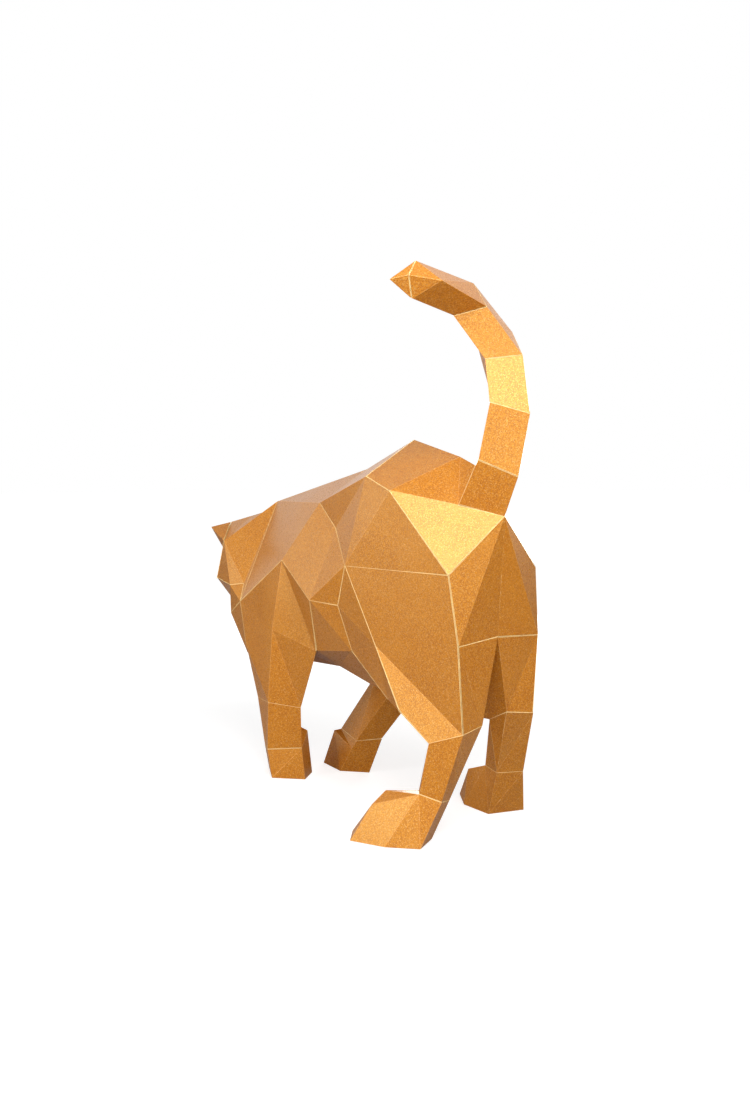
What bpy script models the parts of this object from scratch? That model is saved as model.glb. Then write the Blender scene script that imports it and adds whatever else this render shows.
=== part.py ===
"""A free-standing walking cat folded from thin card: flat facets, glued together along their seams."""

import bmesh
import bpy
import numpy as np
from mathutils import Vector

# Card and seams, in metres.
CARD = 0.00035
SEAM_CLEARANCE = 0.0004

# How small a share of the largest spread of directions at a corner counts as none.
NEARLY_FLAT = 0.1
NEARLY_PARALLEL = 0.005

# Every corner below is in millimetres: x to the cat's left, y to its rear, z up from the floor.
MILLIMETRE = 0.001

# Corners on the middle plane, as (y, z).
MIDDLE = {
    "withers": (-88, 263),
    "loin": (50, 295),
    "back_peak": (112, 320),
    "croup": (167, 305),
    "tail_front": (184, 298),
    "tail_rear": (216, 258),
    "crotch": (210, 162),
    "groin": (88, 92),
    "belly": (10, 110),
    "breast": (-116, 106),
    "throat": (-146, 149),
    "nape": (-110, 252),
    "poll": (-134, 247),
    "forehead": (-165, 240),
    "nose_bridge": (-178, 218),
    "nose": (-195, 191),
    "chin": (-189, 173),
    "jaw": (-173, 159),
}

# Corners of the left side, as (x, y, z). The right side is their mirror image. None: see FLAT.
SIDE = {
    "back_side": (40, 32, 265),
    "flank_top": (46, 62, 244),
    "hip_front": (56, 114, 289),
    "hip_top": (None, 147, 278),
    "tail_side": (24, 189, 267),
    "hip_back": (51, 205, 214),
    "flank_back": (58, 89, 214),
    "haunch_back": (47, 212, 159),
    "haunch_front": (None, 121, 149),
    "belly_front": (None, 39, 180),
    "belly_back": (52, 72, 178),
    "belly_low": (42, 79, 138),
    "haunch_low": (44, 128, 104),
    "shoulder": (48, -15, 211),
    "neck_side": (41, -95, 165),
    "throat_side": (29, -130, 149),
    "breast_side": (34, -93, 113),
    "arm_front": (44, -81, 125),
    "arm_outer": (48, -31, 145),
    "arm_back": (34, 19, 130),
    "armpit_front": (16, -86, 120),
    "armpit_back": (11, -13, 118),
    "skull_side": (30, -140, 222),
    "cheek_back": (33, -100, 182),
    "jaw_side": (37, -119, 179),
    "cheek_front": (28, -157, 183),
    "brow": (18, -161, 214),
    "eye": (17, -163, 203),
    "muzzle": (15, -175, 187),
    "ear_inner": (7, -161, 240),
    "ear_tip": (35, -156, 236),
}

# Corners of the hind legs below the haunch. The right leg stands a little ahead.
HIND_LEG = {
    "left": {
        "knee": (None, 157, 101),
        "shin_top": (55, 188, 80),
        "hock_back": (43, 214, 90),
        "hock_inner": (17, 210, 93),
        "shin_inner": (20, 168, 88),
        "ankle_outer": (None, 181, 39),
        "ankle_back": (50, 198, 35),
        "ankle_inner": (32, 189, 31),
        "ankle_front": (48, 170, 38),
        "paw_top_outer": (78, 147, 27),
        "paw_top_inner": (64, 148, 36),
        "sole_heel_outer": (68, 193, 0),
        "sole_heel_inner": (45, 182, 0),
        "sole_side": (86, 171, 0),
        "sole_toe_outer": (97, 142, 0),
        "sole_toe_front": (80, 125, 0),
        "sole_toe_inner": (54, 130, 0),
    },
    "right": {
        "knee": (None, 157, 104),
        "shin_top": (55, 186, 84),
        "hock_back": (43, 211, 94),
        "hock_inner": (17, 205, 98),
        "shin_inner": (17, 186, 88),
        "ankle_outer": (None, 178, 41),
        "ankle_back": (52, 193, 39),
        "ankle_inner": (30, 183, 40),
        "ankle_front": (34, 166, 42),
        "paw_top_outer": (64, 142, 30),
        "paw_top_inner": (38, 142, 33),
        "sole_heel_outer": (66, 182, 0),
        "sole_heel_inner": (34, 170, 0),
        "sole_side": (80, 160, 0),
        "sole_toe_outer": (82, 132, 0),
        "sole_toe_front": (56, 114, 0),
        "sole_toe_inner": (37, 138, 0),
    },
}

# Corners of the forelegs below the shoulder. The right elbow is bent, with its paw further back.
FORELEG = {
    "left": {
        "wrist_outer": (47, -40, 74),
        "wrist_back": (27, -15, 70),
        "wrist_inner": (10, -40, 74),
        "wrist_front": (36, -73, 72),
        "ankle_outer": (None, -45, 27),
        "ankle_back": (24, -18, 30),
        "ankle_inner": (12, -40, 46),
        "ankle_front": (36, -62, 28),
        "paw_inner": (7, -31, 42),
        "paw_front": (18, -62, 34),
        "sole_outer": (44, -39, 0),
        "sole_back": (23, -14, 0),
        "sole_inner": (3, -29, 0),
        "sole_toe_inner": (-9, -62, 0),
        "sole_toe_outer": (24, -72, 0),
    },
    "right": {
        "wrist_outer": (63, 34, 103),
        "wrist_back": (56, 70, 98),
        "wrist_inner": (39, 50, 97),
        "wrist_front": (41, 18, 101),
        "ankle_outer": (None, -10, 38),
        "ankle_back": (42, 23, 36),
        "ankle_inner": (26, 4, 33),
        "ankle_front": (32, -27, 38),
        "paw_inner": (24, -1, 24),
        "paw_front": (28, -33, 36),
        "sole_outer": (54, -8, 0),
        "sole_back": (38, 9, 0),
        "sole_inner": (20, -14, 0),
        "sole_toe_inner": (26, -48, 0),
        "sole_toe_outer": (54, -48, 0),
    },
}

# Rings of the tail from its root up, each with its left, rear, right and front corner.
TAIL = [
    [(22, 208, 302), (0.6, 230, 289), (-15, 220, 298), (7, 198, 311)],
    [(15, 213, 346), (-6.4, 235, 337), (-21, 223, 344), (1, 201, 353)],
    [(11, 204, 380), (-12.3, 222, 383), (-19, 205, 403), (4, 186, 400)],
    [(31, 189, 413), (10.7, 205, 420), (8, 188, 440), (28, 172, 433)],
    [(72, 186, 422), (79, 190, 438), (69, 187, 450), (63, 174, 436)],
]
TAIL_KNUCKLE = (60, 206, 434)
TAIL_TIP = (93, 184, 434)

# Side corners that lie on the plane of three others, which sets their x.
FLAT = {
    "belly_front": ("back_side", "shoulder", "flank_top"),
    "hip_top": ("back_peak", "croup", "hip_front"),
    "haunch_front": ("flank_back", "hip_back", "haunch_back"),
    "hind.knee": ("haunch_front", "hind.hock_back", "hind.shin_top"),
    "hind.ankle_outer": ("hind.shin_top", "hind.hock_back", "hind.ankle_back"),
    "fore.ankle_outer": ("fore.wrist_outer", "fore.wrist_back", "fore.ankle_back"),
}

# Sheets that span both sides of the cat: the facets of their left half.
SHARED_SHEETS = {
    "back": [
        ("loin", "withers", "back_side"),
        ("withers", "shoulder", "back_side"),
        ("withers", "neck_side", "shoulder"),
        ("back_side", "flank_top", "belly_front", "shoulder"),
        ("flank_top", "flank_back", "belly_back", "belly_front"),
    ],
    "rump": [
        ("back_peak", "hip_front", "hip_top", "croup"),
        ("croup", "hip_top", "tail_side", "tail_front"),
        ("hip_top", "hip_back", "tail_rear", "tail_side"),
    ],
    "rump_rear": [
        ("tail_rear", "hip_back", "haunch_back"),
        ("tail_rear", "haunch_back", "crotch"),
    ],
    "belly": [
        ("belly_front", "belly_back", "belly_low", "arm_back"),
        ("arm_back", "belly_low", "belly"),
        ("belly_low", "haunch_low", "groin"),
        ("belly_low", "groin", "belly"),
        ("arm_back", "belly", "armpit_back"),
        ("armpit_back", "belly", "breast", "armpit_front"),
    ],
    "chest": [
        ("neck_side", "throat_side", "breast_side"),
        ("neck_side", "breast_side", "arm_front"),
        ("throat_side", "throat", "breast", "breast_side"),
        ("arm_front", "breast_side", "armpit_front"),
        ("breast_side", "breast", "armpit_front"),
    ],
    "skull": [
        ("nape", "poll", "skull_side"),
        ("poll", "forehead", "ear_inner", "skull_side"),
        ("withers", "nape", "skull_side"),
        ("withers", "skull_side", "cheek_back"),
        ("withers", "cheek_back", "neck_side"),
        ("skull_side", "cheek_front", "jaw_side", "cheek_back"),
    ],
    "face": [
        ("forehead", "nose_bridge", "brow", "ear_inner"),
        ("nose_bridge", "nose", "muzzle"),
        ("nose_bridge", "muzzle", "eye"),
        ("nose_bridge", "eye", "brow"),
        ("brow", "eye", "cheek_front"),
        ("eye", "muzzle", "cheek_front"),
        ("brow", "cheek_front", "skull_side"),
        ("nose", "chin", "muzzle"),
    ],
    "lower_jaw": [
        ("chin", "cheek_front", "muzzle"),
        ("chin", "jaw", "cheek_front"),
        ("jaw", "jaw_side", "cheek_front"),
        ("jaw", "throat", "throat_side", "jaw_side"),
        ("throat_side", "neck_side", "jaw_side"),
        ("jaw_side", "neck_side", "cheek_back"),
    ],
}

# Sheets made once for each side, as the facets of the left one.
SIDE_SHEETS = {
    "ear": [
        ("ear_inner", "skull_side", "ear_tip"),
        ("skull_side", "brow", "ear_tip"),
        ("brow", "ear_inner", "ear_tip"),
    ],
    "hip": [
        ("back_peak", "loin", "hip_front"),
        ("loin", "back_side", "hip_front"),
        ("back_side", "flank_top", "hip_front"),
        ("hip_front", "flank_top", "flank_back"),
        ("hip_front", "flank_back", "hip_top"),
        ("hip_top", "flank_back", "hip_back"),
    ],
    "haunch": [
        ("flank_back", "haunch_front", "haunch_back", "hip_back"),
        ("haunch_front", "hind.hock_back", "haunch_back"),
        ("haunch_front", "hind.knee", "hind.shin_top", "hind.hock_back"),
    ],
    "thigh": [
        ("haunch_back", "hind.hock_back", "hind.hock_inner", "crotch"),
        ("flank_back", "belly_back", "belly_low", "haunch_front"),
        ("haunch_front", "belly_low", "haunch_low", "hind.knee"),
        ("haunch_low", "hind.shin_inner", "hind.knee"),
        ("hind.knee", "hind.shin_inner", "hind.shin_top"),
        ("haunch_low", "groin", "hind.shin_inner"),
        ("groin", "crotch", "hind.shin_inner"),
        ("crotch", "hind.hock_inner", "hind.shin_inner"),
    ],
    "upper_foreleg": [
        ("shoulder", "arm_outer", "arm_back"),
        ("shoulder", "belly_front", "arm_back"),
        ("arm_outer", "fore.wrist_back", "arm_back"),
        ("arm_outer", "fore.wrist_outer", "fore.wrist_back"),
        ("shoulder", "neck_side", "arm_outer"),
        ("neck_side", "arm_front", "arm_outer"),
        ("arm_front", "fore.wrist_front", "fore.wrist_outer", "arm_outer"),
        ("arm_front", "armpit_front", "fore.wrist_front"),
        ("armpit_front", "fore.wrist_inner", "fore.wrist_front"),
        ("armpit_front", "armpit_back", "fore.wrist_inner"),
        ("armpit_back", "arm_back", "fore.wrist_back", "fore.wrist_inner"),
    ],
    "hind_paw": [
        ("hind.ankle_outer", "hind.paw_top_outer", "hind.sole_side"),
        ("hind.ankle_outer", "hind.sole_side", "hind.sole_heel_outer"),
        ("hind.ankle_outer", "hind.sole_heel_outer", "hind.ankle_back"),
        ("hind.ankle_back", "hind.sole_heel_outer", "hind.sole_heel_inner", "hind.ankle_inner"),
        ("hind.paw_top_outer", "hind.sole_toe_outer", "hind.sole_side"),
        ("hind.ankle_outer", "hind.ankle_front", "hind.paw_top_inner", "hind.paw_top_outer"),
        ("hind.paw_top_outer", "hind.paw_top_inner", "hind.sole_toe_front", "hind.sole_toe_outer"),
        ("hind.paw_top_inner", "hind.sole_toe_inner", "hind.sole_toe_front"),
        ("hind.ankle_front", "hind.sole_toe_inner", "hind.paw_top_inner"),
        ("hind.ankle_inner", "hind.sole_heel_inner", "hind.sole_toe_inner", "hind.ankle_front"),
        (
            "hind.sole_heel_inner", "hind.sole_heel_outer", "hind.sole_side",
            "hind.sole_toe_outer", "hind.sole_toe_front", "hind.sole_toe_inner",
        ),
    ],
    "front_paw": [
        ("fore.ankle_outer", "fore.sole_outer", "fore.sole_back", "fore.ankle_back"),
        ("fore.ankle_back", "fore.sole_back", "fore.sole_inner", "fore.paw_inner"),
        ("fore.ankle_back", "fore.paw_inner", "fore.ankle_inner"),
        ("fore.ankle_inner", "fore.paw_inner", "fore.paw_front", "fore.ankle_front"),
        ("fore.paw_inner", "fore.sole_inner", "fore.sole_toe_inner", "fore.paw_front"),
        ("fore.paw_front", "fore.sole_toe_inner", "fore.sole_toe_outer"),
        ("fore.ankle_front", "fore.paw_front", "fore.sole_toe_outer"),
        ("fore.ankle_front", "fore.sole_toe_outer", "fore.sole_outer", "fore.ankle_outer"),
        (
            "fore.sole_outer", "fore.sole_back", "fore.sole_inner",
            "fore.sole_toe_inner", "fore.sole_toe_outer",
        ),
    ],
}

# Rings of corners joined by a four-sided tube.
TUBES = {
    "shank": (
        ("hind.shin_top", "hind.hock_back", "hind.hock_inner", "hind.shin_inner"),
        ("hind.ankle_outer", "hind.ankle_back", "hind.ankle_inner", "hind.ankle_front"),
    ),
    "lower_foreleg": (
        ("fore.wrist_outer", "fore.wrist_back", "fore.wrist_inner", "fore.wrist_front"),
        ("fore.ankle_outer", "fore.ankle_back", "fore.ankle_inner", "fore.ankle_front"),
    ),
}

# Lengths of the tail from its root up; the last two rings carry the knuckle and the tip.
TAIL_SHEETS = ["tail_root", "tail_lower", "tail_middle", "tail_upper", "tail_curl", "tail_tip"]

SHEET_COLOUR = (0.68, 0.30, 0.06)
SHEET_ROUGHNESS = 0.42
SHEET_METALLIC = 0.35


def side_corner(name, side):
    """The corner of that name on one side, in millimetres."""
    leg, _, spot = name.rpartition(".")
    x, y, z = {"": SIDE, "hind": HIND_LEG[side], "fore": FORELEG[side]}[leg][spot]
    if name in FLAT:
        return Vector((x_on_plane([corner(other, side) for other in FLAT[name]], y, z), y, z))
    return Vector((x if side == "left" else -x, y, z))


def corner(name, side):
    if name in MIDDLE:
        return Vector((0, *MIDDLE[name]))
    return side_corner(name, side)


def x_on_plane(three, y, z):
    """The x at which a point with this y and z lies on the plane of three others."""
    first, second, third = three
    normal = (second - first).cross(third - first)
    return first.x - (normal.y * (y - first.y) + normal.z * (z - first.z)) / normal.x


class Skin:
    """The whole folded surface, with the name of its sheet on every facet."""

    def __init__(self):
        self.mesh = bmesh.new()
        self.number = self.mesh.faces.layers.int.new("sheet")
        self.corners = {}
        self.sheets = []

    def vertex(self, key, place):
        if key not in self.corners:
            self.corners[key] = self.mesh.verts.new(place * MILLIMETRE)
        return self.corners[key]

    def facet(self, sheet, vertices):
        if sheet not in self.sheets:
            self.sheets.append(sheet)
        self.mesh.faces.new(vertices)[self.number] = self.sheets.index(sheet)

    def sheet(self, face):
        return self.sheets[face[self.number]]

    def crease(self):
        """Fold every facet that isn't flat along its diagonal, and turn all facets outwards."""
        bmesh.ops.triangulate(self.mesh, faces=self.mesh.faces)
        bmesh.ops.recalc_face_normals(self.mesh, faces=self.mesh.faces)

    def centre(self):
        """Put the origin on the floor, under the middle of the cat's box."""
        places = np.array([vertex.co for vertex in self.mesh.verts])
        x, y, _ = (places.min(axis=0) + places.max(axis=0)) / 2
        bmesh.ops.translate(self.mesh, verts=self.mesh.verts, vec=(-x, -y, 0))

    def named_facet(self, sheet, side, names):
        keys = [(name, None if name in MIDDLE else side) for name in names]
        self.facet(sheet, [self.vertex(key, corner(key[0], side)) for key in keys])

    def tube(self, sheet, lower, upper):
        """Facets between two rings with the same number of corners."""
        for here in range(len(lower)):
            after = (here + 1) % len(lower)
            self.facet(sheet, [lower[here], lower[after], upper[after], upper[here]])


def add_body(skin):
    for side in ("left", "right"):
        for sheet, facets in SHARED_SHEETS.items():
            for names in facets:
                skin.named_facet(sheet, side, names)
        for sheet, facets in SIDE_SHEETS.items():
            for names in facets:
                skin.named_facet(f"{side}_{sheet}", side, names)
        for sheet, rings in TUBES.items():
            upper, lower = (
                [skin.vertex((name, side), corner(name, side)) for name in ring] for ring in rings
            )
            skin.tube(f"{side}_{sheet}", lower, upper)


def add_tail(skin):
    root = [("tail_side", "left"), ("tail_rear", None), ("tail_side", "right"), ("tail_front", None)]
    rings = [[skin.corners[key] for key in root]]
    for level, ring in enumerate(TAIL):
        rings.append([skin.vertex(("tail", level, spot), Vector(ring[spot])) for spot in range(4)])
    for sheet, lower, upper in zip(TAIL_SHEETS[:-2], rings, rings[1:]):
        skin.tube(sheet, lower, upper)
    curl, tip = TAIL_SHEETS[-2:]
    knuckle = skin.vertex("knuckle", Vector(TAIL_KNUCKLE))
    point = skin.vertex("tip", Vector(TAIL_TIP))
    left, rear, right, front = range(4)
    near, far = rings[-2], rings[-1]
    skin.facet(curl, [near[left], near[rear], knuckle, far[left]])
    skin.facet(curl, [near[rear], near[right], far[right], knuckle])
    skin.facet(curl, [knuckle, far[rear], far[left]])
    skin.facet(curl, [knuckle, far[right], far[rear]])
    skin.facet(curl, [near[left], far[left], far[front], near[front]])
    skin.facet(curl, [near[front], far[front], far[right], near[right]])
    for here in range(4):
        skin.facet(tip, [far[here], far[(here + 1) % 4], point])


def inward(face, edge):
    """The direction in a facet's plane that leads away from one of its edges."""
    direction = face.normal.cross((edge.verts[1].co - edge.verts[0].co).normalized())
    outside = direction.dot(face.calc_center_median() - edge.verts[0].co) < 0
    return -direction if outside else direction


def fans(skin, vertex, sheet):
    """The sheet's facets around a corner, in groups joined by folds; a sheet can meet a corner twice."""
    waiting = [face for face in vertex.link_faces if skin.sheet(face) == sheet]
    groups = []
    while waiting:
        group = [waiting.pop(0)]
        for member in group:
            folds = {edge for edge in member.edges if vertex in edge.verts}
            joined = [face for face in waiting if folds & set(face.edges)]
            group += joined
            waiting = [face for face in waiting if face not in joined]
        groups.append(group)
    return groups


def trimmed_place(skin, vertex, fan):
    """A corner of a sheet, drawn back from the seams that meet there while staying on its facets.

    Both faces of the card end half the clearance short of the plane that halves each seam's angle.
    """
    normals = np.array([face.normal for face in fan])
    thickness = np.linalg.lstsq(normals, np.full(len(fan), -CARD), rcond=NEARLY_FLAT)[0]
    sides = []
    for face in fan:
        for edge in face.edges:
            over = [other for other in edge.link_faces if skin.sheet(other) != skin.sheet(face)]
            if vertex in edge.verts and over:
                sides.append((inward(face, edge) - inward(over[0], edge)).normalized())
    if not sides:
        return vertex.co
    sides = np.array(sides)
    needed = SEAM_CLEARANCE / 2 + np.maximum(0.0, -(sides @ thickness))
    rows = np.vstack([normals, sides])
    shift = np.linalg.lstsq(rows, np.concatenate([np.zeros(len(fan)), needed]), rcond=NEARLY_PARALLEL)[0]
    reached = (sides @ shift / needed).min()
    return vertex.co + Vector(shift / min(1.0, reached))


def sheet_material(name):
    material = bpy.data.materials.new(name + "_card")
    material.use_nodes = True
    shader = material.node_tree.nodes["Principled BSDF"]
    shader.inputs["Base Color"].default_value = (*SHEET_COLOUR, 1)
    shader.inputs["Roughness"].default_value = SHEET_ROUGHNESS
    shader.inputs["Metallic"].default_value = SHEET_METALLIC
    return material


def make_sheet(skin, name, collection):
    """One folded sheet as an object: its trimmed facets, thickened inwards to the card."""
    faces = [face for face in skin.mesh.faces if skin.sheet(face) == name]
    places = []
    number_of = {}
    for vertex in dict.fromkeys(vertex for face in faces for vertex in face.verts):
        for fan in fans(skin, vertex, name):
            number_of.update({(face, vertex): len(places) for face in fan})
            places.append(trimmed_place(skin, vertex, fan))
    mesh = bpy.data.meshes.new(name)
    mesh.from_pydata(places, [], [[number_of[face, vertex] for vertex in face.verts] for face in faces])
    mesh.materials.append(sheet_material(name))
    sheet = bpy.data.objects.new(name, mesh)
    collection.objects.link(sheet)
    wall = sheet.modifiers.new("card", "SOLIDIFY")
    wall.thickness = CARD
    wall.offset = -1
    wall.solidify_mode = "NON_MANIFOLD"
    wall.nonmanifold_thickness_mode = "CONSTRAINTS"
    return sheet


def main():
    for old in list(bpy.data.objects):
        bpy.data.objects.remove(old, do_unlink=True)
    collection = bpy.data.collections.new("papercraft_cat")
    bpy.context.scene.collection.children.link(collection)
    skin = Skin()
    add_body(skin)
    add_tail(skin)
    skin.crease()
    skin.centre()
    for name in skin.sheets:
        make_sheet(skin, name, collection)
    skin.mesh.free()


main()
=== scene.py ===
"""Dresses a walking cat of folded gold card: scored folds with painted highlight, worn cut edges,
pearl coat and a studio.
"""

import math

import bmesh
import bpy
from bpy.props import FloatProperty, FloatVectorProperty, PointerProperty
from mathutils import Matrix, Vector
from mathutils.bvhtree import BVHTree


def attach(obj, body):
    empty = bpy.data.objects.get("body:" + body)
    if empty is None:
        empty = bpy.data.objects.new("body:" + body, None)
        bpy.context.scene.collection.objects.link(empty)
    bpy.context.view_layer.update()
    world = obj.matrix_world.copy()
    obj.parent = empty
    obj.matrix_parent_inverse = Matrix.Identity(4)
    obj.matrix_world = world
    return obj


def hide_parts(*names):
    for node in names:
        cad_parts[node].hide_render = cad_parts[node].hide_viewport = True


bl_info = {
    "name": "Folded Card Cat",
    "version": (1, 0, 0),
    "blender": (4, 5, 0),
    "location": "View3D > Sidebar > Card Cat",
    "description": "Dresses a folded card cat with scored folds, cut edges and pearl card",
    "category": "Object",
}

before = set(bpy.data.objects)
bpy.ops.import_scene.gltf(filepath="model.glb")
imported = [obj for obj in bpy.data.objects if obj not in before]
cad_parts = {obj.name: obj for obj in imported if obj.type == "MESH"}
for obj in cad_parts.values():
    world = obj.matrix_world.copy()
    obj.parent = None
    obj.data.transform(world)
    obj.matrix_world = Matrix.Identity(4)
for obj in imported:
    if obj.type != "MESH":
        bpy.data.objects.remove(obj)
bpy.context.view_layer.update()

# The sheets in the order in which a maker folds them.
BODY_SHEETS = (
    "back", "rump", "rump_rear", "belly", "chest",
    "left_hip", "right_hip", "left_haunch", "right_haunch", "left_thigh", "right_thigh",
)
HEAD_SHEETS = ("skull", "face", "lower_jaw", "left_ear", "right_ear")
LEG_SHEETS = (
    "left_upper_foreleg", "left_lower_foreleg", "left_front_paw",
    "right_upper_foreleg", "right_lower_foreleg", "right_front_paw",
    "left_shank", "left_hind_paw", "right_shank", "right_hind_paw",
)
TAIL_SHEETS = ("tail_root", "tail_lower", "tail_middle", "tail_upper", "tail_curl", "tail_tip")

# Material slots of a dressed sheet; the fold slot holds pale patches that are partly cracked coat and
# partly painted highlight.
PEARL, FOLD, EDGE = range(3)

# How the two faces of a packed sheet are told apart: lengths in metres, then a ratio and a cosine.
MERGE = 1e-6
STEP_OFF = 1e-5
THICKEST = 1.2
OPPOSITE = -0.98
FLAT = math.radians(0.5)

# Forms of the pearl coat, in metres.
CLOUD_WIDTH = 0.045
BOW_WIDTH = 0.05
BOW_HEIGHT = 0.0012
TOOTH_HEIGHT = 0.00004
CRACK_HEIGHT = 0.00003

# Every softbox: its name, its place, what it is aimed at and its side.
MIDDLE = (0.0, 0.0, 0.2)
LEFT_HIND_PAW = (0.1, 0.15, 0.03)
SOFTBOXES = (
    ("top", (0.36, 0.62, 0.88), MIDDLE, 0.56),
    ("rear", (0.3, 1.2, 0.15), MIDDLE, 0.7),
    ("side", (1.3, -0.2, 0.1), MIDDLE, 0.7),
    ("low", (0.9, -0.8, 0.18), MIDDLE, 0.7),
    ("camera", (0.78, 0.86, 0.42), MIDDLE, 0.5),
    ("paw", (0.84, -0.02, 0.62), LEFT_HIND_PAW, 0.24),
    ("far", (-1.0, -0.6, 0.4), MIDDLE, 0.7),
)

# The floor: half its side, its depth below the paws, and where its own glow begins and ends.
FLOOR_REACH = 12.0
FLOOR_DEPTH = 0.0002
GLOW_NEAR = 0.35
GLOW_FAR = 1.2


class CardSizes(bpy.types.PropertyGroup):
    """Sizes of the card and of what folding and cutting leave on it."""

    thickness: FloatProperty(
        name="Card", description="Thickness of the card", default=0.00035, unit="LENGTH"
    )
    fold_width: FloatProperty(
        name="Fold", description="Width of a scored fold's rounded back", default=0.0005,
        unit="LENGTH",
    )
    fold_angle: FloatProperty(
        name="Least fold", description="Facets that meet flatter than this aren't scored",
        default=math.radians(4.0), subtype="ANGLE",
    )
    edge_width: FloatProperty(
        name="Worn edge", description="Width of the pale rub along a cut edge", default=0.0002,
        unit="LENGTH",
    )
    edge_reach: FloatProperty(
        name="Edge reach", description="How far a cut edge reaches into its seam", default=0.00014,
        unit="LENGTH",
    )


class CardColours(bpy.types.PropertyGroup):
    """Colours and grain of the pearl card."""

    deep: FloatVectorProperty(
        name="Deep", description="Card between the mica flakes", subtype="COLOR",
        default=(0.33, 0.085, 0.007),
    )
    gold: FloatVectorProperty(
        name="Gold", description="Mean colour of the pearl coat", subtype="COLOR",
        default=(0.57, 0.215, 0.02),
    )
    flake: FloatVectorProperty(
        name="Flake", description="Mica flakes that catch the light", subtype="COLOR",
        default=(1.0, 0.80, 0.33),
    )
    edge: FloatVectorProperty(
        name="Cut edge", description="Pale core of the card", subtype="COLOR",
        default=(0.82, 0.54, 0.24),
    )
    grain: FloatProperty(
        name="Grain", description="Size of one speckle", default=0.0008, unit="LENGTH"
    )
    flake_metallic: FloatProperty(
        name="Flake metal", description="Share of the light that a mica flake mirrors",
        default=0.12, subtype="FACTOR",
    )
    roughness: FloatProperty(
        name="Roughness", description="Mean roughness of the pearl coat", default=0.3,
        subtype="FACTOR",
    )


class StudioSizes(bpy.types.PropertyGroup):
    """Camera and lamps."""

    camera_place: FloatVectorProperty(
        name="Camera", description="Where the camera stands", subtype="XYZ",
        default=(0.6088, 0.75, 0.294),
    )
    camera_heading: FloatProperty(
        name="Heading", description="Turn of the view about the upright, from +Y", subtype="ANGLE",
        default=math.radians(139.0),
    )
    camera_pitch: FloatProperty(
        name="Pitch", description="How far the camera looks down", subtype="ANGLE",
        default=math.radians(4.617),
    )
    lens: FloatProperty(name="Lens", description="Focal length in millimetres", default=34.05)
    top_light: FloatProperty(
        name="Top", description="Watts of the softbox above the cat", default=8.6
    )
    rear_light: FloatProperty(
        name="Rear", description="Watts of the softbox behind the cat", default=7.4
    )
    side_light: FloatProperty(
        name="Side", description="Watts of the low softbox on the cat's left", default=10.0
    )
    low_light: FloatProperty(
        name="Low", description="Watts of the low softbox ahead of the cat", default=2.4
    )
    camera_light: FloatProperty(
        name="Camera side", description="Watts of the softbox by the camera", default=1.3
    )
    paw_light: FloatProperty(
        name="Paw", description="Watts of the small softbox for the left hind paw", default=1.3
    )
    far_light: FloatProperty(
        name="Far", description="Watts of the softbox on the cat's right", default=8.0
    )


# Shapes of a dressed sheet


def joined_mesh(mesh):
    """A bmesh of a CAD node with its loose triangles merged at their corners."""
    bm = bmesh.new()
    bm.from_mesh(mesh)
    bmesh.ops.remove_doubles(bm, verts=bm.verts, dist=MERGE)
    return bm


def walls_tree():
    """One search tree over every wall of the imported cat."""
    places = []
    triangles = []
    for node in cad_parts.values():
        count = len(places)
        places += [vertex.co.copy() for vertex in node.data.vertices]
        triangles += [[count + corner for corner in face.vertices] for face in node.data.polygons]
    return BVHTree.FromPolygons(places, triangles)


def is_outside(walls, place, normal):
    """True where a walk straight out meets an even number of card walls, which have two faces each."""
    met = 0
    start = place + normal * STEP_OFF
    while True:
        hit = walls.ray_cast(start, normal)
        if hit[0] is None:
            return met // 2 % 2 == 0
        met += 1
        start = hit[0] + normal * STEP_OFF


def outer_facets(node, walls, thickness):
    """The outer face of a folded sheet, without its inner face and its rims.

    A facet belongs to a face of the card where the opposite face lies one thickness below it.
    """
    bm = joined_mesh(node.data)
    own = BVHTree.FromBMesh(bm)
    spare = []
    for face in bm.faces:
        centre = face.calc_center_median()
        place, normal, _, depth = own.ray_cast(centre - face.normal * MERGE, -face.normal)
        is_card = (
            place is not None
            and depth < THICKEST * thickness
            and normal.dot(face.normal) < OPPOSITE
        )
        if not (is_card and is_outside(walls, centre, face.normal)):
            spare.append(face)
    bmesh.ops.delete(bm, geom=spare, context="FACES")
    bmesh.ops.dissolve_limit(bm, angle_limit=FLAT, verts=bm.verts, edges=bm.edges)
    return bm


def score_folds(bm, sizes):
    """Round every fold over a narrow band, as a score line does, and give the band the fold material
    with its painted highlight.
    """
    folds = [
        edge for edge in bm.edges
        if len(edge.link_faces) == 2 and edge.calc_face_angle() > sizes.fold_angle
    ]
    if folds:
        bmesh.ops.bevel(
            bm, geom=folds, offset=sizes.fold_width / 2, offset_type="OFFSET", segments=2,
            profile=0.5, affect="EDGES", clamp_overlap=True, material=FOLD, loop_slide=True,
        )


def wear_edges(bm, sizes):
    """Lay a narrow band along the cut edges, and let the edge itself reach into the seam."""
    inset = bmesh.ops.inset_region(
        bm, faces=bm.faces, thickness=sizes.edge_width, use_boundary=True, use_even_offset=True
    )
    for face in inset["faces"]:
        face.material_index = EDGE
    reach = {}
    for vertex in (vertex for edge in bm.edges if edge.is_boundary for vertex in edge.verts):
        inner = [edge.other_vert(vertex) for edge in vertex.link_edges if not edge.is_boundary]
        if inner:
            away = vertex.co - sum((other.co for other in inner), Vector()) / len(inner)
            reach[vertex] = away.normalized() * sizes.edge_reach
    for vertex, step in reach.items():
        vertex.co += step


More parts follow.
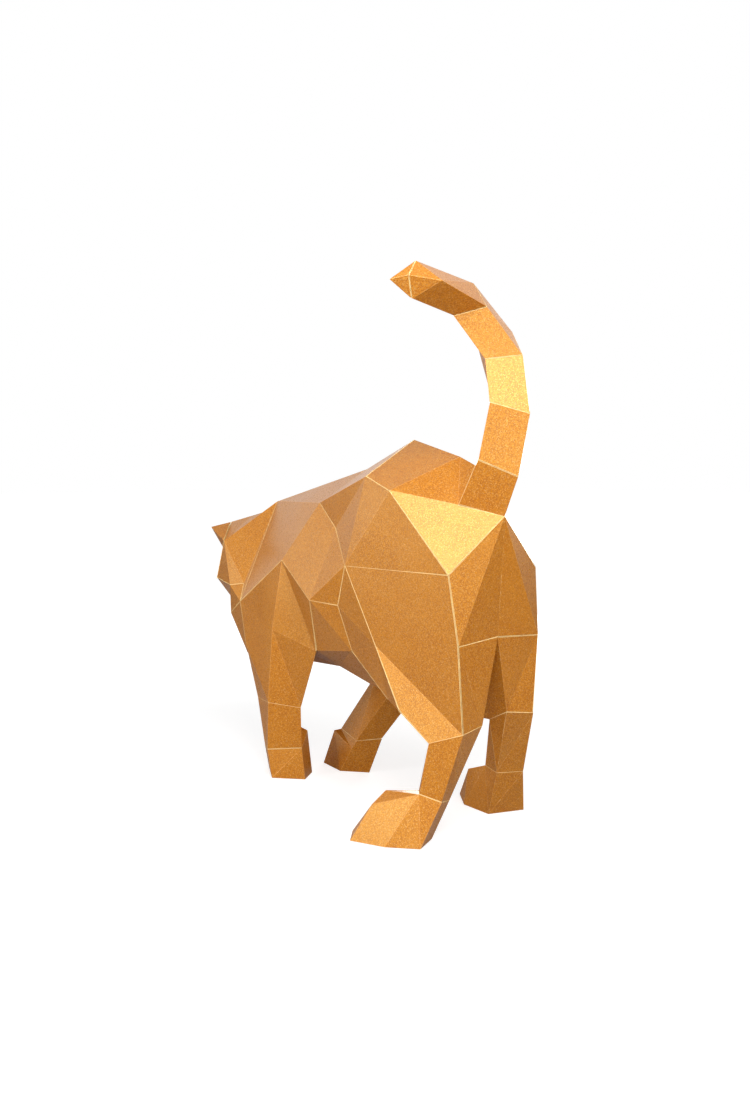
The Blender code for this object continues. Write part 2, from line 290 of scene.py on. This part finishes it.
def dress_sheet(name, walls, sizes, materials):
    """One folded sheet with scored folds and worn cut edges, in place of its plain solid."""
    bm = outer_facets(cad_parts[name], walls, sizes.thickness)
    score_folds(bm, sizes)
    wear_edges(bm, sizes)
    mesh = bpy.data.meshes.new(name + "_card")
    bm.to_mesh(mesh)
    bm.free()
    for material in materials:
        mesh.materials.append(material)
    piece = bpy.data.objects.new(name + "_card", mesh)
    bpy.context.scene.collection.objects.link(piece)
    wall = piece.modifiers.new("card", "SOLIDIFY")
    wall.thickness = sizes.thickness
    wall.offset = -1
    wall.material_offset_rim = EDGE
    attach(piece, "root")
    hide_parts(name)
    return piece


def dress_sheets(context, names):
    walls = walls_tree()
    colours = context.scene.cat_colours
    materials = [pearl_card(colours), scored_fold(colours), cut_edge(colours)]
    for name in names:
        dress_sheet(name, walls, context.scene.cat_card, materials)


# Materials


class Nodes:
    """A short way to add nodes to a material and to join them."""

    def __init__(self, name):
        self.material = bpy.data.materials.new(name)
        self.material.use_nodes = True
        self.tree = self.material.node_tree
        self.shader = self.tree.nodes["Principled BSDF"]
        self.place = self.tree.nodes.new("ShaderNodeTexCoord").outputs["Object"]

    def add(self, kind, inputs=(), **settings):
        node = self.tree.nodes.new(kind)
        for key, value in settings.items():
            setattr(node, key, value)
        for key, value in dict(inputs).items():
            if isinstance(value, bpy.types.NodeSocket):
                self.tree.links.new(value, node.inputs[key])
            else:
                node.inputs[key].default_value = value
        return node

    def noise(self, size, detail=2.0, roughness=0.5):
        """Noise whose patches are about this size across."""
        return self.add(
            "ShaderNodeTexNoise",
            {"Vector": self.place, "Scale": 1 / size, "Detail": detail, "Roughness": roughness},
        ).outputs["Fac"]

    def cells(self, size):
        """A random value for each of many cells of about this size."""
        flake = self.add("ShaderNodeTexVoronoi", {"Vector": self.place, "Scale": 1 / size})
        return self.add("ShaderNodeSeparateColor", {"Color": flake.outputs["Color"]}).outputs["Red"]

    def span(self, value, low, high, to_low=0.0, to_high=1.0):
        """A value stretched from one range to another, and held inside it."""
        return self.add(
            "ShaderNodeMapRange",
            {"Value": value, "From Min": low, "From Max": high, "To Min": to_low, "To Max": to_high},
        ).outputs["Result"]

    def blend(self, share, first, second):
        mix = self.add("ShaderNodeMix", data_type="RGBA")
        sockets = [socket for socket in mix.inputs if socket.enabled]
        for socket, value in zip(sockets, (share, first, second)):
            if isinstance(value, bpy.types.NodeSocket):
                self.tree.links.new(value, socket)
            else:
                socket.default_value = value
        return next(socket for socket in mix.outputs if socket.enabled)

    def bump(self, height, distance, normal=None):
        inputs = {"Height": height, "Distance": distance, "Strength": 1.0}
        if normal is not None:
            inputs["Normal"] = normal
        return self.add("ShaderNodeBump", inputs).outputs["Normal"]

    def set(self, socket, value):
        if isinstance(value, bpy.types.NodeSocket):
            self.tree.links.new(value, self.shader.inputs[socket])
        else:
            self.shader.inputs[socket].default_value = value


def once(name, maker):
    """The material of that name, made the first time it is asked for."""
    return bpy.data.materials.get(name) or maker(name)


def pearl_card(colours):
    """Gold card with a mica coat: speckled colour and gloss, a fine tooth and a slight bow."""

    def make(name):
        nodes = Nodes(name)
        speckle = nodes.cells(colours.grain)
        flakes = nodes.span(nodes.cells(colours.grain * 0.7), 0.86, 0.92)
        cloud = nodes.span(nodes.noise(CLOUD_WIDTH, 2.0), 0.35, 0.65, 0.0, 0.22)
        ground = nodes.blend(speckle, (*colours.deep, 1), (*colours.gold, 1))
        ground = nodes.blend(cloud, ground, (*colours.gold, 1))
        pearl = nodes.blend(nodes.span(flakes, 0, 1, 0, 0.2), ground, (*colours.flake, 1))
        gloss = nodes.span(speckle, 0, 1, colours.roughness + 0.03, colours.roughness - 0.03)
        bow = nodes.bump(nodes.noise(BOW_WIDTH, 0.0), BOW_HEIGHT)
        nodes.set("Base Color", pearl)
        nodes.set("Metallic", nodes.span(flakes, 0, 1, 0, colours.flake_metallic))
        nodes.set("Specular IOR Level", 0.9)
        nodes.set("Specular Tint", (*colours.flake, 1))
        nodes.set("Roughness", gloss)
        nodes.set("Normal", nodes.bump(nodes.noise(colours.grain, 1.0), TOOTH_HEIGHT, bow))
        return nodes.material

    return once("pearl_card", make)


def scored_fold(colours):
    """The pearl coat stretched over a score, pale in patches: partly a cracked coat that shows the
    core, partly painted highlight along the fold.
    """

    def make(name):
        nodes = Nodes(name)
        cracks_and_highlight = nodes.span(nodes.noise(0.002, 3.0, 0.7), 0.48, 0.75)
        # Pale patches along the fold: partly cracked coat showing the pale core, partly painted
        # highlight.
        nodes.set("Base Color", nodes.blend(cracks_and_highlight, (*colours.gold, 1), (*colours.edge, 1)))
        nodes.set("Metallic", 0.2)
        nodes.set("Roughness", nodes.span(cracks_and_highlight, 0, 1, 0.4, 0.7))
        nodes.set("Normal", nodes.bump(cracks_and_highlight, CRACK_HEIGHT))
        return nodes.material

    return once("scored_fold", make)


def cut_edge(colours):
    """The card's bare core along a cut, with fibres and a little gold rubbed over it."""

    def make(name):
        nodes = Nodes(name)
        rub = nodes.span(nodes.noise(0.003, 3.0, 0.6), 0.35, 0.65, 0.0, 0.55)
        fibre = nodes.noise(0.0005, 2.0)
        nodes.set("Base Color", nodes.blend(rub, (*colours.edge, 1), (*colours.flake, 1)))
        nodes.set("Roughness", nodes.span(fibre, 0.3, 0.7, 0.6, 0.9))
        nodes.set("Normal", nodes.bump(fibre, CRACK_HEIGHT))
        return nodes.material

    return once("cut_edge", make)


# Operators and the studio


class DressBody(bpy.types.Operator):
    """Fold the sheets of the trunk, hips and thighs."""

    bl_idname = "card_cat.dress_body"
    bl_label = "Body sheets"

    def execute(self, context):
        dress_sheets(context, BODY_SHEETS)
        return {"FINISHED"}


class DressHead(bpy.types.Operator):
    """Fold the sheets of the head."""

    bl_idname = "card_cat.dress_head"
    bl_label = "Head sheets"

    def execute(self, context):
        dress_sheets(context, HEAD_SHEETS)
        return {"FINISHED"}


class DressLegs(bpy.types.Operator):
    """Fold the sheets of the legs and paws."""

    bl_idname = "card_cat.dress_legs"
    bl_label = "Leg sheets"

    def execute(self, context):
        dress_sheets(context, LEG_SHEETS)
        return {"FINISHED"}


class DressTail(bpy.types.Operator):
    """Fold the sheets of the tail."""

    bl_idname = "card_cat.dress_tail"
    bl_label = "Tail sheets"

    def execute(self, context):
        dress_sheets(context, TAIL_SHEETS)
        return {"FINISHED"}


def softbox(name, place, target, side, watts):
    """A square lamp that faces its target."""
    lamp = bpy.data.lights.new(name, "AREA")
    lamp.size = side
    lamp.energy = watts
    box = bpy.data.objects.new(name, lamp)
    box.location = place
    box.rotation_euler = (Vector(target) - Vector(place)).to_track_quat("-Z", "Y").to_euler()
    bpy.context.scene.collection.objects.link(box)


def white_room():
    """A room that the camera, mirrors and glass see as white, and that lights nothing else."""
    world = bpy.data.worlds.new("white_room")
    world.use_nodes = True
    tree = world.node_tree
    path = tree.nodes.new("ShaderNodeLightPath")
    seen = path.outputs["Is Camera Ray"]
    for ray in ("Is Glossy Ray", "Is Transmission Ray"):
        either = tree.nodes.new("ShaderNodeMath")
        either.operation = "MAXIMUM"
        tree.links.new(seen, either.inputs[0])
        tree.links.new(path.outputs[ray], either.inputs[1])
        seen = either.outputs[0]
    background = tree.nodes["Background"]
    tree.links.new(seen, background.inputs["Strength"])
    background.inputs["Color"].default_value = (1, 1, 1, 1)
    bpy.context.scene.world = world


def pale_floor():
    """A wide floor. Only the camera sees its glow, which lets its far end meet the white room."""
    signs = ((-1, -1), (1, -1), (1, 1), (-1, 1))
    places = [(x * FLOOR_REACH, y * FLOOR_REACH, -FLOOR_DEPTH) for x, y in signs]
    mesh = bpy.data.meshes.new("floor")
    mesh.from_pydata(places, [], [(0, 1, 2, 3)])
    nodes = Nodes("floor_paint")
    nodes.set("Base Color", (0.45, 0.45, 0.45, 1))
    nodes.set("Roughness", 0.9)
    nodes.set("Specular IOR Level", 0.1)
    nodes.set("Emission Color", (1, 1, 1, 1))
    path = nodes.add("ShaderNodeLightPath")
    far = nodes.add("ShaderNodeVectorMath", {0: nodes.place}, operation="LENGTH").outputs["Value"]
    glow = nodes.span(far, GLOW_NEAR, GLOW_FAR, 0.74, 1.0)
    seen = nodes.add(
        "ShaderNodeMath", {0: path.outputs["Is Camera Ray"], 1: glow}, operation="MULTIPLY"
    )
    nodes.set("Emission Strength", seen.outputs[0])
    mesh.materials.append(nodes.material)
    floor = bpy.data.objects.new("floor", mesh)
    bpy.context.scene.collection.objects.link(floor)


class SetStudio(bpy.types.Operator):
    """Set the floor, the lamps and the camera."""

    bl_idname = "card_cat.set_studio"
    bl_label = "Studio"

    def execute(self, context):
        studio = context.scene.cat_studio
        pale_floor()
        white_room()
        for name, place, target, side in SOFTBOXES:
            softbox(name + "_softbox", place, target, side, getattr(studio, name + "_light"))
        lens = bpy.data.cameras.new("camera")
        lens.lens = studio.lens
        lens.sensor_width = 36.0
        camera = bpy.data.objects.new("camera", lens)
        camera.location = studio.camera_place
        camera.rotation_euler = (math.pi / 2 - studio.camera_pitch, 0, studio.camera_heading)
        context.scene.collection.objects.link(camera)
        context.scene.camera = camera
        context.scene.view_settings.view_transform = "Standard"
        return {"FINISHED"}


class CardCatPanel(bpy.types.Panel):
    """Buttons and sizes of the card cat."""

    bl_idname = "VIEW3D_PT_card_cat"
    bl_label = "Card Cat"
    bl_space_type = "VIEW_3D"
    bl_region_type = "UI"
    bl_category = "Card Cat"

    def draw(self, context):
        for operator in STEPS:
            self.layout.operator(operator.bl_idname)
        for group in (context.scene.cat_card, context.scene.cat_colours, context.scene.cat_studio):
            column = self.layout.column()
            for name in group.__annotations__:
                column.prop(group, name)


STEPS = (DressBody, DressHead, DressLegs, DressTail, SetStudio)
GROUPS = {"cat_card": CardSizes, "cat_colours": CardColours, "cat_studio": StudioSizes}


def register():
    for kind in (*GROUPS.values(), *STEPS, CardCatPanel):
        bpy.utils.register_class(kind)
    for name, group in GROUPS.items():
        setattr(bpy.types.Scene, name, PointerProperty(type=group))


def unregister():
    for name in GROUPS:
        delattr(bpy.types.Scene, name)
    for kind in (CardCatPanel, *reversed(STEPS), *GROUPS.values()):
        bpy.utils.unregister_class(kind)


def main():
    register()
    bpy.ops.card_cat.dress_body()
    bpy.ops.card_cat.dress_head()
    bpy.ops.card_cat.dress_legs()
    bpy.ops.card_cat.dress_tail()
    bpy.ops.card_cat.set_studio()


if __name__ == "__main__":
    main()
